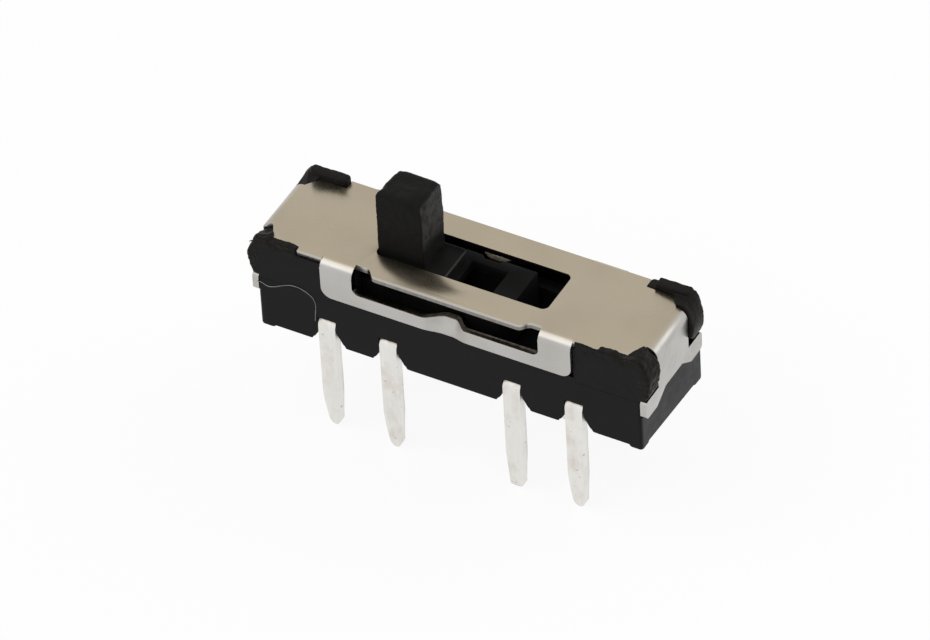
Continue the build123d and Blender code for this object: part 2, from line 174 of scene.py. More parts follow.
class StageSettings(PropertyGroup):
    azimuth: FloatProperty(
        name="Azimuth", description="Camera's turn round the switch from straight in front",
        default=radians(30.769), subtype="ANGLE",
    )
    elevation: FloatProperty(
        name="Elevation", description="Camera's height above the horizon", default=radians(42.336),
        subtype="ANGLE",
    )
    roll: FloatProperty(
        name="Roll", description="Camera's turn about its own axis", default=radians(-3.432),
        subtype="ANGLE",
    )
    distance: FloatProperty(
        name="Distance", description="Camera to the switch", default=249.698 * MM, unit="LENGTH",
    )
    focal_length: FloatProperty(
        name="Focal length", description="Lens on a 36 mm wide sensor, in mm", default=337.55,
    )
    key_power: FloatProperty(
        name="Key light", description="Power of the large lamp in front, in watts", default=0.30,
    )
    fill_power: FloatProperty(
        name="Fill light", description="Power of the lamp on the right, in watts", default=0.12,
    )
    sky: FloatVectorProperty(
        name="Sky", description="Light from overhead", subtype="COLOR",
        default=(0.60, 0.60, 0.60), min=0.0, max=1.0,
    )


# ---- Selecting and shaping ------------------------------------------------------------------------
def select_only(*objects):
    """Selects these objects, the last one active, and nothing else."""
    bpy.ops.object.select_all(action="DESELECT")
    for each in objects:
        each.select_set(True)
    bpy.context.view_layer.objects.active = objects[-1]


def resize_mesh(piece, factor):
    """Scales the mesh itself about the origin, so the object stays unscaled."""
    select_only(piece)
    piece.scale = (factor, factor, factor)
    bpy.ops.object.transform_apply(location=False, rotation=False, scale=True)


def copy_node(node, name):
    """A copy of a CAD node as a clean closed mesh, in millimetres while it is shaped."""
    select_only(frame["nodes"][node])
    bpy.ops.object.duplicate()
    piece = bpy.context.active_object
    bpy.ops.object.parent_clear(type="CLEAR")
    piece.name = name
    piece.data.name = name
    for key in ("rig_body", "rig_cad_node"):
        del piece[key]
    piece.data.materials.clear()
    resize_mesh(piece, BIG)
    bpy.ops.mesh.customdata_custom_splitnormals_clear()
    bpy.ops.object.mode_set(mode="EDIT")
    bpy.ops.mesh.select_all(action="SELECT")
    bpy.ops.mesh.remove_doubles(threshold=0.0005)
    bpy.ops.mesh.dissolve_limited(angle_limit=radians(0.5))
    bpy.ops.mesh.vert_connect_concave()
    bpy.ops.object.mode_set(mode="OBJECT")
    return piece


def weigh_edges(piece, width, sharper_than, where):
    """Bevel weights for the sharp edges, smaller where there is no room for the full width."""
    shape = bmesh.new()
    shape.from_mesh(piece.data)
    weight = shape.edges.layers.float.new("bevel_weight_edge")
    for edge in shape.edges:
        if not edge.is_manifold or edge.calc_face_angle() < radians(sharper_than):
            continue
        if where and not where(edge.verts[0].co, edge.verts[1].co):
            continue
        beside = [
            other.calc_length() for end in edge.verts for other in end.link_edges if other != edge
        ]
        edge[weight] = min(1.0, min(beside) / (EDGE_ROOM * width))
    shape.to_mesh(piece.data)
    shape.free()


def apply_modifier(piece, kind, **settings):
    """Adds one modifier and applies it."""
    select_only(piece)
    modifier = piece.modifiers.new(kind.title(), kind)
    for key, value in settings.items():
        setattr(modifier, key, value)
    bpy.ops.object.modifier_apply(modifier=modifier.name)


def round_edges(piece, width, sharper_than=40, where=None, segments=2):
    """Rounds every edge sharper than an angle in degrees, or only those that where picks."""
    weigh_edges(piece, width, sharper_than, where)
    apply_modifier(
        piece, "BEVEL", width=width, segments=segments, limit_method="WEIGHT",
        use_clamp_overlap=False,
    )
    select_only(piece)
    bpy.ops.object.mode_set(mode="EDIT")
    bpy.ops.mesh.select_all(action="SELECT")
    bpy.ops.mesh.remove_doubles(threshold=0.0005)
    bpy.ops.object.mode_set(mode="OBJECT")


def close_up(piece, apart=0.0005):
    """Fills pinholes, merges stray points and splits dented faces into plain ones."""
    select_only(piece)
    bpy.ops.object.mode_set(mode="EDIT")
    bpy.ops.mesh.select_all(action="SELECT")
    bpy.ops.mesh.remove_doubles(threshold=apart)
    bpy.ops.mesh.fill_holes(sides=5)
    bpy.ops.mesh.select_all(action="SELECT")
    bpy.ops.mesh.vert_connect_concave()
    bpy.ops.object.mode_set(mode="OBJECT")


def smooth_shading(piece, sharper_than=40):
    """Smooth shading that keeps the edges sharper than an angle in degrees."""
    close_up(piece)
    select_only(piece)
    bpy.ops.object.shade_smooth_by_angle(angle=radians(sharper_than))


def add_box(name, low, high):
    """A plain box between two corners, for cutting with."""
    bpy.ops.object.select_all(action="DESELECT")
    middle = (Vector(low) + Vector(high)) / 2
    bpy.ops.mesh.primitive_cube_add(size=1, location=middle)
    box = bpy.context.active_object
    box.name = name
    box.scale = Vector(high) - Vector(low)
    bpy.ops.object.transform_apply(location=True, rotation=True, scale=True)
    return box


def cut(piece, cutter, operation):
    """Boolean with another object, which is left as it is."""
    apply_modifier(piece, "BOOLEAN", object=cutter, operation=operation, solver="EXACT")


def remove(piece):
    """Deletes a helper object."""
    select_only(piece)
    bpy.ops.object.delete()


def duplicate(piece, name):
    """A copy of a piece with its own mesh."""
    select_only(piece)
    bpy.ops.object.duplicate()
    copy = bpy.context.active_object
    copy.name = name
    return copy


def make_soft(piece, voxel, rounds):
    """Remeshes a shape evenly and smooths it, which rounds its edges."""
    apply_modifier(piece, "REMESH", mode="VOXEL", voxel_size=voxel, use_smooth_shade=True)
    apply_modifier(piece, "SMOOTH", factor=0.5, iterations=rounds)


def pull(piece, centre, reach, move):
    """Moves the surface near a point, less and less out to a distance."""
    middle, shift = Vector(centre), Vector(move)
    for vertex in piece.data.vertices:
        away = (vertex.co - middle).length / reach
        if away < 1.0:
            vertex.co += shift * (1.0 - away * away) ** 2


def roughen(piece, lump_size, depth, free_from=None):
    """Uneven lumps of a size; free_from gives each vertex's weight by its place."""
    texture = bpy.data.textures.new("lumps", "CLOUDS")
    texture.noise_scale = lump_size
    texture.noise_depth = 1
    settings = {
        "texture": texture, "strength": depth, "mid_level": 0.5, "texture_coords": "LOCAL",
    }
    if free_from:
        group = piece.vertex_groups.new(name="free")
        for vertex in piece.data.vertices:
            group.add([vertex.index], free_from(vertex.co), "REPLACE")
        settings["vertex_group"] = group.name
    apply_modifier(piece, "DISPLACE", **settings)
    piece.vertex_groups.clear()


def shrink(piece, depth):
    """Draws the whole surface in by a little."""
    apply_modifier(piece, "DISPLACE", strength=-depth, mid_level=0.0)


def keep_inside(piece, low, high):
    """Holds every vertex inside a box."""
    for vertex in piece.data.vertices:
        for axis in range(3):
            vertex.co[axis] = min(max(vertex.co[axis], low[axis]), high[axis])


def ease(value, start, end):
    """0 at the start, 1 at the end and smooth between them."""
    share = min(1.0, max(0.0, (value - start) / (end - start)))
    return share * share * (3.0 - 2.0 * share)


def fill(piece, *boxes):
    """Adds boxes, each given by its two corners, to a piece."""
    for low, high in boxes:
        block = add_box("block", low, high)
        cut(piece, block, "UNION")
        remove(block)


def carve(piece, *boxes):
    """Takes boxes, each given by its two corners, out of a piece."""
    for low, high in boxes:
        block = add_box("block", low, high)
        cut(piece, block, "DIFFERENCE")
        remove(block)


def split_off(piece, name, low, high, overlap):
    """Cuts the part inside a box off a piece and gives it back, longer by the overlap inside."""
    grown_low = Vector(low) - Vector(overlap[0])
    grown_high = Vector(high) + Vector(overlap[1])
    part = duplicate(piece, name)
    keeper = add_box("keeper", grown_low, grown_high)
    cut(part, keeper, "INTERSECT")
    remove(keeper)
    cutter = add_box("cutter", low, high)
    cut(piece, cutter, "DIFFERENCE")
    remove(cutter)
    return part


def merge_in(piece, part):
    """Joins a shaped part to its piece as one closed body."""
    cut(piece, part, "UNION")
    remove(part)


def finish_piece(piece, body, slot, material, *stands_for):
    """Brings a shaped piece back to metres and gives it its material and body; its slot argument is not used."""
    resize_mesh(piece, MM)
    piece.data.materials.clear()
    piece.data.materials.append(material)
    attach(piece, body)
    if stands_for:
        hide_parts(*stands_for)
    return piece


# ---- Materials ------------------------------------------------------------------------------------
def new_material(name):
    """An empty node material with its shader and an object-space coordinate in millimetres."""
    material = bpy.data.materials.new(name)
    material.use_nodes = True
    tree = material.node_tree
    tree.nodes.clear()
    output = tree.nodes.new("ShaderNodeOutputMaterial")
    shader = tree.nodes.new("ShaderNodeBsdfPrincipled")
    place = tree.nodes.new("ShaderNodeTexCoord")
    tree.links.new(shader.outputs["BSDF"], output.inputs["Surface"])
    return material, tree, shader, place.outputs["Object"]


def stretched(tree, place, scale):
    """The coordinate scaled along each axis, in cycles per millimetre."""
    mapping = tree.nodes.new("ShaderNodeMapping")
    mapping.inputs["Scale"].default_value = [each * BIG for each in scale]
    tree.links.new(place, mapping.inputs["Vector"])
    return mapping.outputs["Vector"]


def noise(tree, place, scale, detail=2.0, roughness=0.5):
    """Noise at so many cycles per millimetre, which may differ along each axis."""
    axes = scale if hasattr(scale, "__len__") else (scale, scale, scale)
    texture = tree.nodes.new("ShaderNodeTexNoise")
    texture.inputs["Scale"].default_value = 1.0
    texture.inputs["Detail"].default_value = detail
    texture.inputs["Roughness"].default_value = roughness
    tree.links.new(stretched(tree, place, axes), texture.inputs["Vector"])
    return texture.outputs["Fac"]


def spread(tree, value, low, high, from_low=0.3, from_high=0.7):
    """A value remapped to run from low to high."""
    remap = tree.nodes.new("ShaderNodeMapRange")
    remap.inputs["From Min"].default_value = from_low
    remap.inputs["From Max"].default_value = from_high
    remap.inputs["To Min"].default_value = low
    remap.inputs["To Max"].default_value = high
    tree.links.new(value, remap.inputs["Value"])
    return remap.outputs["Result"]


def blend_colours(tree, factor, first, second, mode="MIX"):
    """Two colours, each a tuple or a socket, mixed by a value."""
    mix = tree.nodes.new("ShaderNodeMix")
    mix.data_type = "RGBA"
    mix.blend_type = mode
    if isinstance(factor, float):
        mix.inputs["Factor"].default_value = factor
    else:
        tree.links.new(factor, mix.inputs["Factor"])
    for socket, colour in ((mix.inputs["A"], first), (mix.inputs["B"], second)):
        if isinstance(colour, bpy.types.NodeSocket):
            tree.links.new(colour, socket)
        else:
            socket.default_value = (*colour, 1.0)
    return mix.outputs["Result"]


def multiply(tree, first, second):
    """The product of two values."""
    node = tree.nodes.new("ShaderNodeMath")
    node.operation = "MULTIPLY"
    tree.links.new(first, node.inputs[0])
    tree.links.new(second, node.inputs[1])
    return node.outputs["Value"]


def bump(tree, shader, *layers):
    """Adds layers of (height, strength, depth in mm) to the shader's normal."""
    previous = None
    for height, strength, depth in layers:
        node = tree.nodes.new("ShaderNodeBump")
        node.inputs["Strength"].default_value = strength
        node.inputs["Distance"].default_value = depth * MM
        tree.links.new(height, node.inputs["Height"])
        if previous:
            tree.links.new(previous, node.inputs["Normal"])
        previous = node.outputs["Normal"]
    tree.links.new(previous, shader.inputs["Normal"])


def shade(colour, factor):
    """A colour made darker or lighter."""
    return tuple(min(1.0, channel * factor) for channel in colour)


# Dark brown of the strip's cut top edges: the unplated cut edge, darkened further as painted shade under the
# lip.
CUT_EDGE_AND_PAINTED_SHADE = (0.07, 0.055, 0.045)
# Near black of the painted shade inside the cover.
INNER_PAINTED_SHADE = (0.035, 0.032, 0.028)


def sheet_material():
    """Plated sheet: warmer where it lies flat on top, greyer on the flanges, partly the plating's tone and
    partly a painted reflection; faint stains, painted shade inside and under the lip, and a painted shadow on
    the plate's sheared edge past the legs.
    """
    colours = bpy.context.scene.switch_colours
    material, tree, shader, place = new_material("plated_sheet")
    shader.inputs["Metallic"].default_value = 1.0
    geometry = tree.nodes.new("ShaderNodeTexCoord")
    axes = tree.nodes.new("ShaderNodeSeparateXYZ")
    tree.links.new(geometry.outputs["Normal"], axes.inputs["Vector"])
    # Painted reflection: faces that look up take the darker, warmer top colour, and the others the greyer flange
    # colour.
    upward = spread(tree, axes.outputs["Z"], 0.0, 1.0, 0.75, 0.98)
    base = blend_colours(tree, upward, tuple(colours.sheet_side), tuple(colours.sheet_top))
    stains = spread(tree, noise(tree, place, 0.55, 3.0), 0.0, 0.16, 0.42, 0.72)
    base = blend_colours(tree, stains, base, shade(colours.sheet_top, 0.55))
    where = tree.nodes.new("ShaderNodeSeparateXYZ")
    tree.links.new(place, where.inputs["Vector"])
    below = spread(tree, where.outputs["Z"], 1.0, 0.0, 2.70 * MM, 2.85 * MM)
    # Faces that look up, low on the cover, chiefly the strip's cut top edges: unplated cut edge and painted
    # shade under the lip, broken up by noise.
    cut_edge_and_painted_shade = multiply(tree, below, spread(tree, axes.outputs["Z"], 0.0, 1.0, 0.6, 0.9))
    ragged = spread(tree, noise(tree, place, (9.0, 9.0, 9.0), 3.0), 0.75, 1.0)
    base = blend_colours(tree, multiply(tree, cut_edge_and_painted_shade, ragged), base, CUT_EDGE_AND_PAINTED_SHADE)
    tilt = tree.nodes.new("ShaderNodeMath")
    tilt.operation = "ABSOLUTE"
    tree.links.new(axes.outputs["Z"], tilt.inputs[0])
    upright = spread(tree, tilt.outputs["Value"], 1.0, 0.0, 0.3, 0.6)
    torn = spread(tree, where.outputs["Z"], 1.0, 0.0, 3.24 * MM, 3.27 * MM)
    in_sheet = spread(tree, where.outputs["Z"], 0.0, 1.0, 3.10 * MM, 3.13 * MM)
    torn = multiply(tree, multiply(tree, torn, in_sheet), upright)
    distance = tree.nodes.new("ShaderNodeMath")
    distance.operation = "ABSOLUTE"
    tree.links.new(where.outputs["X"], distance.inputs[0])
    off_end = spread(tree, distance.outputs["Value"], 1.0, 0.0, 5.6 * MM, 5.7 * MM)
    off_leg = spread(tree, distance.outputs["Value"], 1.0, 0.0, 3.01 * MM, 3.03 * MM)
    past_leg = spread(tree, distance.outputs["Value"], 0.0, 1.0, 4.0 * MM, 4.06 * MM)
    # Sheared faces along the plate's edge: a darker grey on the lip between the legs, and near black past the
    # legs as a painted shadow under the edge.
    inner = multiply(tree, torn, off_leg)
    outer = multiply(tree, multiply(tree, torn, past_leg), off_end)
    base = blend_colours(tree, multiply(tree, inner, ragged), base, (0.20, 0.185, 0.165))
    base = blend_colours(tree, multiply(tree, outer, ragged), base, (0.06, 0.05, 0.045))
    # Painted shade: the window's end faces and every face that looks in towards the middle are made near black,
    # as the shade inside the housing.
    sideways = tree.nodes.new("ShaderNodeMath")
    sideways.operation = "ABSOLUTE"
    tree.links.new(axes.outputs["X"], sideways.inputs[0])
    window_end_painted_shade = multiply(tree, spread(tree, sideways.outputs["Value"], 0.0, 1.0, 0.75, 0.95), off_leg)
    base = blend_colours(tree, window_end_painted_shade, base, INNER_PAINTED_SHADE)
    inward = multiply(tree, axes.outputs["Y"], where.outputs["Y"])
    inward_painted_shade = spread(tree, inward, 1.0, 0.0, -0.7 * MM, -0.3 * MM)
    base = blend_colours(tree, inward_painted_shade, base, INNER_PAINTED_SHADE)
    at_end = spread(tree, distance.outputs["Value"], 0.0, 1.0, 6.22 * MM, 6.32 * MM)
    mottle = spread(tree, noise(tree, place, 3.2, 4.0, 0.65), 0.0, 0.25, 0.48, 0.72)
    base = blend_colours(tree, multiply(tree, at_end, mottle), base, shade(colours.sheet_side, 0.5))
    tree.links.new(base, shader.inputs["Base Color"])
    cloud = noise(tree, place, (0.9, 1.6, 1.6), 4.0, 0.6)
    rough = spread(tree, cloud, 0.24, 0.36)
    dimple = multiply(tree, spread(tree, distance.outputs["Value"], 1.0, 0.0, 0.6 * MM, 0.8 * MM), below)
    softer = tree.nodes.new("ShaderNodeMath")
    softer.operation = "MULTIPLY_ADD"
    softer.inputs[1].default_value = 0.3
    tree.links.new(dimple, softer.inputs[0])
    tree.links.new(rough, softer.inputs[2])
    tree.links.new(softer.outputs["Value"], shader.inputs["Roughness"])
    rolled = noise(tree, place, (1.5, 9.0, 9.0), 2.0, 0.5)
    dents = noise(tree, place, (0.8, 0.8, 0.8), 1.0)
    bump(tree, shader, (rolled, 0.02, 0.002), (dents, 0.10, 0.02))
    return material


def tin_material():
    """Bright tin plating with drawn streaks along the legs."""
    colours = bpy.context.scene.switch_colours
    material, tree, shader, place = new_material("bright_tin")
    shader.inputs["Metallic"].default_value = 1.0
    streaks = noise(tree, place, (9.0, 9.0, 1.2), 3.0, 0.6)
    base = blend_colours(
        tree, spread(tree, streaks, 0.0, 0.4), tuple(colours.tin), shade(colours.tin, 0.88)
    )
    patches = spread(tree, noise(tree, place, (2.6, 2.6, 1.6), 3.0), 0.0, 0.75, 0.5, 0.72)
    base = blend_colours(tree, patches, base, (0.66, 0.605, 0.545))
    pits = spread(tree, noise(tree, place, 6.0, 2.0), 0.0, 0.7, 0.69, 0.76)
    base = blend_colours(tree, pits, base, (0.22, 0.20, 0.18))
    # A broken dark brown band just under the top of each leg's bend: painted shade below the bend's highlight.
    where = tree.nodes.new("ShaderNodeSeparateXYZ")
    tree.links.new(place, where.inputs["Vector"])
    above = spread(tree, where.outputs["Z"], 0.0, 1.0, 0.885 * MM, 0.915 * MM)
    below = spread(tree, where.outputs["Z"], 1.0, 0.0, 0.945 * MM, 0.975 * MM)
    broken = spread(tree, noise(tree, place, 7.0, 2.0), 0.35, 0.9)
    line = multiply(tree, multiply(tree, above, below), broken)
    base = blend_colours(tree, line, base, (0.30, 0.24, 0.17))
    tree.links.new(base, shader.inputs["Base Color"])
    tree.links.new(spread(tree, streaks, 0.30, 0.44), shader.inputs["Roughness"])
    bump(tree, shader, (streaks, 0.15, 0.006), (noise(tree, place, 3.0, 2.0), 0.35, 0.02))
    return material


def contact_material():
    """Plated spring strip."""
    colours = bpy.context.scene.switch_colours
    material, tree, shader, place = new_material("spring_strip")
    shader.inputs["Metallic"].default_value = 1.0
    cloud = noise(tree, place, (2.0, 8.0, 8.0), 3.0)
    base = blend_colours(
        tree, spread(tree, cloud, 0.0, 0.6), tuple(colours.brass), shade(colours.brass, 0.8)
    )
    tree.links.new(base, shader.inputs["Base Color"])
    tree.links.new(spread(tree, cloud, 0.25, 0.38), shader.inputs["Roughness"])
    bump(tree, shader, (cloud, 0.2, 0.005))
    return material


PLASTIC_SHINE = 0.09
# How much the painted light lightens the faces that look to the right.
PAINTED_LIGHT_GAIN = 7.0
# Grey of the painted highlight along the slider pad's end edge.
PAD_EDGE_PAINTED_HIGHLIGHT = (0.045, 0.045, 0.042)
PLASTIC_DUST = 0.05


def plastic_material(name, colour, roughness, grain, grain_depth, formed=None):
    """Black moulded plastic with a fine skin, faint flow marks and grey dust in the grain, painted light on the
    faces that look to the right and, on the slider, a painted highlight along the pad's end edge.
    """
    material, tree, shader, place = new_material(name)
    skin = noise(tree, place, grain, 4.0, 0.6)
    flow = noise(tree, place, (0.7, 1.4, 1.8), 3.0)
    base = blend_colours(tree, spread(tree, flow, 0.0, 1.0), tuple(colour), shade(colour, 1.35))
    if formed:
        where = tree.nodes.new("ShaderNodeSeparateXYZ")
        tree.links.new(place, where.inputs["Vector"])
        distance = tree.nodes.new("ShaderNodeMath")
        distance.operation = "ABSOLUTE"
        tree.links.new(where.outputs["X"], distance.inputs[0])
        outward = spread(tree, distance.outputs["Value"], 0.0, 1.0, 4.6 * MM, 5.2 * MM)
        upward = spread(tree, where.outputs["Z"], 0.0, 1.0, 2.9 * MM, 3.25 * MM)
        past_end = spread(tree, distance.outputs["Value"], 0.0, 1.0, 6.15 * MM, 6.3 * MM)
        high = spread(tree, where.outputs["Z"], 0.0, 1.0, 1.95 * MM, 2.05 * MM)
        heated = multiply(tree, outward, upward)
        base = blend_colours(tree, heated, base, tuple(formed))
        base = blend_colours(tree, multiply(tree, past_end, high), base, tuple(formed))
    # Painted light: faces that look to the right are made lighter, uneven in patches; on the base only below the
    # flange's height, and on the slider only on the knob's upper part, below which it is left in shade.
    facing = tree.nodes.new("ShaderNodeTexCoord")
    sides = tree.nodes.new("ShaderNodeSeparateXYZ")
    tree.links.new(facing.outputs["Normal"], sides.inputs["Vector"])
    right_facing_painted_light = spread(tree, sides.outputs["X"], 0.0, 1.0, 0.70, 0.95)
    height = tree.nodes.new("ShaderNodeSeparateXYZ")
    tree.links.new(place, height.inputs["Vector"])
    if formed:
        painted_light_zone = spread(tree, height.outputs["Z"], 1.0, 0.0, 1.9 * MM, 2.0 * MM)
    else:
        painted_light_zone = spread(tree, height.outputs["Z"], 0.0, 1.0, 3.7 * MM, 4.1 * MM)
        # Painted highlight: a thin lighter line along the top of the slider pad's end edge, where the edge
        # catches the light.
        highlight_from = spread(tree, height.outputs["X"], 0.0, 1.0, -0.66 * MM, -0.62 * MM)
        highlight_to = spread(tree, height.outputs["X"], 1.0, 0.0, -0.595 * MM, -0.585 * MM)
        highlight_top = spread(tree, height.outputs["Z"], 0.0, 1.0, 3.03 * MM, 3.06 * MM)
        worn = multiply(tree, multiply(tree, highlight_from, highlight_to), highlight_top)
        base = blend_colours(tree, worn, base, PAD_EDGE_PAINTED_HIGHLIGHT)
    right_facing_painted_light = multiply(tree, right_facing_painted_light, painted_light_zone)
    uneven_light_patches = spread(tree, noise(tree, place, 3.0, 3.0), 0.75 if formed else 0.35, 1.0, 0.40, 0.55)
    base = blend_colours(tree, multiply(tree, right_facing_painted_light, uneven_light_patches), base, shade(colour, PAINTED_LIGHT_GAIN))
    dust = spread(tree, noise(tree, place, 9.0, 3.0, 0.7), 0.0, 0.35, 0.66, 0.80)
    base = blend_colours(tree, dust, base, shade(colour, 6.0))
    tree.links.new(base, shader.inputs["Base Color"])
    low, high = roughness
    tree.links.new(spread(tree, flow, low, high), shader.inputs["Roughness"])
    shader.inputs["Specular IOR Level"].default_value = PLASTIC_SHINE
    shader.inputs["Sheen Weight"].default_value = PLASTIC_DUST
    shader.inputs["Sheen Roughness"].default_value = 0.25
    bump(tree, shader, (skin, 0.35, grain_depth), (flow, 0.2, 0.02))
    return material


def lint_material():
    """A dull textile fibre."""
    colours = bpy.context.scene.switch_colours
    material, tree, shader, place = new_material("lint")
    shade_noise = spread(tree, noise(tree, place, 3.0), 0.0, 1.0)
    base = blend_colours(tree, shade_noise, shade(colours.lint, 0.7), shade(colours.lint, 1.3))
    tree.links.new(base, shader.inputs["Base Color"])
    shader.inputs["Roughness"].default_value = 0.8
    return material


# ---- Pieces ---------------------------------------------------------------------------------------
SIDE_OUTER = 1.80
SHEET = 0.20
STRIP_BOTTOM, STRIP_TOP = 2.03, 2.49
FLANGE_START, FLANGE_END = 3.00, 4.04
BUMP_REACH = 0.95
BUMP_COLUMNS = 38
BUMP_ROWS = 6
BUMP_DEPTH = 0.37
BUMP_FOOT_SHARE = 0.16


def bump_depth(x, z):
    """How far the strip is pressed in: deepest at its free upper edge, steeper towards +X."""
    if x < -0.12:
        along = ease(x, -0.78, -0.12)
    elif x < 0.16:
        along = 1.0
    else:
        along = ease(x, 0.64, 0.16)
    up = ease(z, STRIP_BOTTOM - 0.10, STRIP_TOP + 0.10)
    return BUMP_DEPTH * along * (BUMP_FOOT_SHARE + (1.0 - BUMP_FOOT_SHARE) * up)


def grid_strip(name, side):
    """A finely divided flat strip in place of the sprung part of one side."""
    low = (-BUMP_REACH, SIDE_OUTER - SHEET, STRIP_BOTTOM)
    high = (BUMP_REACH, SIDE_OUTER, STRIP_TOP)
    strip = add_box(name, low, high)
    select_only(strip)
    bpy.ops.object.mode_set(mode="EDIT")
    for column in range(1, BUMP_COLUMNS):
        bpy.ops.mesh.select_all(action="SELECT")
        x = -BUMP_REACH + 2 * BUMP_REACH * column / BUMP_COLUMNS
        bpy.ops.mesh.bisect(plane_co=(x, 0, 0), plane_no=(1, 0, 0))
    for row in range(1, BUMP_ROWS):
        bpy.ops.mesh.select_all(action="SELECT")
        z = STRIP_BOTTOM + (STRIP_TOP - STRIP_BOTTOM) * row / BUMP_ROWS
        bpy.ops.mesh.bisect(plane_co=(0, 0, z), plane_no=(0, 0, 1))
    bpy.ops.object.mode_set(mode="OBJECT")
    for vertex in strip.data.vertices:
        vertex.co.y -= bump_depth(vertex.co.x, vertex.co.z)
        vertex.co.y *= side
    if side < 0:
        bpy.ops.object.mode_set(mode="EDIT")
        bpy.ops.mesh.select_all(action="SELECT")
        bpy.ops.mesh.flip_normals()
        bpy.ops.object.mode_set(mode="OBJECT")
    return strip


def press_bumps(cover):
    """Replaces the sprung part of each side with one that is pressed in as the real sheet is."""
    for side in (-1, 1):
        y_low, y_high = sorted((side * 1.10, side * 1.90))
        window = add_box("window", (-BUMP_REACH, y_low, 1.9), (BUMP_REACH, y_high, 2.7))
        cut(cover, window, "DIFFERENCE")
        remove(window)
        merge_in(cover, grid_strip("strip", side))
    select_only(cover)
    bpy.ops.object.mode_set(mode="EDIT")
    bpy.ops.mesh.select_all(action="SELECT")
    bpy.ops.mesh.remove_doubles(threshold=0.0005)
    bpy.ops.mesh.dissolve_limited(angle_limit=radians(0.5))
    bpy.ops.mesh.vert_connect_concave()
    bpy.ops.object.mode_set(mode="OBJECT")


def is_free_edge(start, end):
    """Whether a cover edge has room to round, clear of the flanges' steps, end arms and lip's foot."""
    if all(abs(place.x) > 6.1 and abs(place.y) > 0.88 and place.z < 2.0 for place in (start, end)):
        return False
    if all(place.y < -0.8 and 3.0 < place.z < 3.16 for place in (start, end)):
        return False
    for step in (FLANGE_START, FLANGE_END):
        if all(abs(abs(place.x) - step) < 0.03 and place.z > 3.0 for place in (start, end)):
            return False
    return True


class SWITCH_OT_cover(Operator):
    """Builds the folded sheet cover with its sheared edges rounded"""

    bl_idname = "switch.cover"
    bl_label = "Folded cover"

    def execute(self, context):
        sizes = context.scene.switch_sizes
        piece = copy_node("cover", "folded_cover")
        press_bumps(piece)
        round_edges(piece, sizes.sheet_edge, where=is_free_edge)
        keep_inside(piece, *node_box_mm("cover"))
        smooth_shading(piece)
        finish_piece(piece, HOUSING, "cover_sheet", sheet_material(), "cover")
        return {"FINISHED"}


BLUNT_LEG = "terminal_front_3"
LEG_SHAPES = {
    "terminal_front_1": (0.13, 0.17),
    "terminal_front_2": (0.05, 0.15),
    "terminal_front_3": (0.13, 0.04),
    "terminal_front_4": (0.16, 0.12),
}
LEG_CURVE_START = -1.4
LEG_SECTIONS = (-1.95, -2.15, -2.35, -2.5, -2.63, -2.75, -2.85)


def curve_leg(leg, shorter, narrower):
    """Shortens a leg and curves its left side in towards the tip, as the shear left it."""
    select_only(leg)
    bpy.ops.object.mode_set(mode="EDIT")
    for height in LEG_SECTIONS:
        bpy.ops.mesh.select_all(action="SELECT")
        bpy.ops.mesh.bisect(plane_co=(0, 0, height), plane_no=(0, 0, 1))
    bpy.ops.mesh.select_all(action="SELECT")
    bpy.ops.mesh.remove_doubles(threshold=0.005)
    bpy.ops.object.mode_set(mode="OBJECT")
    places = [vertex.co for vertex in leg.data.vertices]
    legs = [place for place in places if place.z < -0.2]
    left, right = min(place.x for place in legs), max(place.x for place in legs)
    lowest = min(place.z for place in places)
    for place in legs:
        down = max(0.0, (LEG_CURVE_START - place.z) / (LEG_CURVE_START - lowest))
        place.x += narrower * down**3 * (right - place.x) / (right - left)
        place.z += shorter * down


TIP_RADIUS = 0.22


def square_tip(leg):
    """Widens the round tip of one leg, where the shear cut it blunter than the others."""
    places = [vertex.co for vertex in leg.data.vertices]
    lowest = min(place.z for place in places)
    tip = [place for place in places if place.z < lowest + TIP_RADIUS]
    middle = (min(place.x for place in tip) + max(place.x for place in tip)) / 2
    for place in tip:
        down = 1.0 - (place.z - lowest) / TIP_RADIUS
        if 0.0 < down < 0.999:
            wider = (1.0 - down**5) ** 0.2 / (1.0 - down**2) ** 0.5
            place.x = middle + (place.x - middle) * min(wider, 2.0)


class SWITCH_OT_terminals(Operator):
    """Builds the eight plated terminals with rounded edges"""

    bl_idname = "switch.terminals"
    bl_label = "Terminals"

    def execute(self, context):
        sizes = context.scene.switch_sizes
        material = tin_material()
        for node in TERMINALS:
            piece = copy_node(node, node.replace("terminal", "plated_leg"))
            if node == BLUNT_LEG:
                square_tip(piece)
            if node in LEG_SHAPES:
                curve_leg(piece, *LEG_SHAPES[node])
            round_edges(piece, sizes.terminal_edge)
            smooth_shading(piece)
            finish_piece(piece, HOUSING, "terminal_plating", material, node)
        return {"FINISHED"}


class SWITCH_OT_contacts(Operator):
    """Gives the bridging contacts inside the slider their plated finish"""

    bl_idname = "switch.contacts"
    bl_label = "Bridging contacts"

    def execute(self, context):
        material = contact_material()
        for node in CONTACTS:
            strip = frame["nodes"][node]
            strip.data.materials.clear()
            strip.data.materials.append(material)
        return {"FINISHED"}


BODY_TOP = 3.34
GRIP_BOTTOM = 3.16
SEAM = 0.05


def is_below_grip(start, end):
    """Whether an edge of the slider is below the remeshed knob and not right beside its foot."""
    beside_foot = all(abs(place.y) > 0.66 and abs(place.y) < 0.70 and place.z > 3.0 for place in (start, end))
    return max(start.z, end.z) < GRIP_BOTTOM - SEAM and not beside_foot


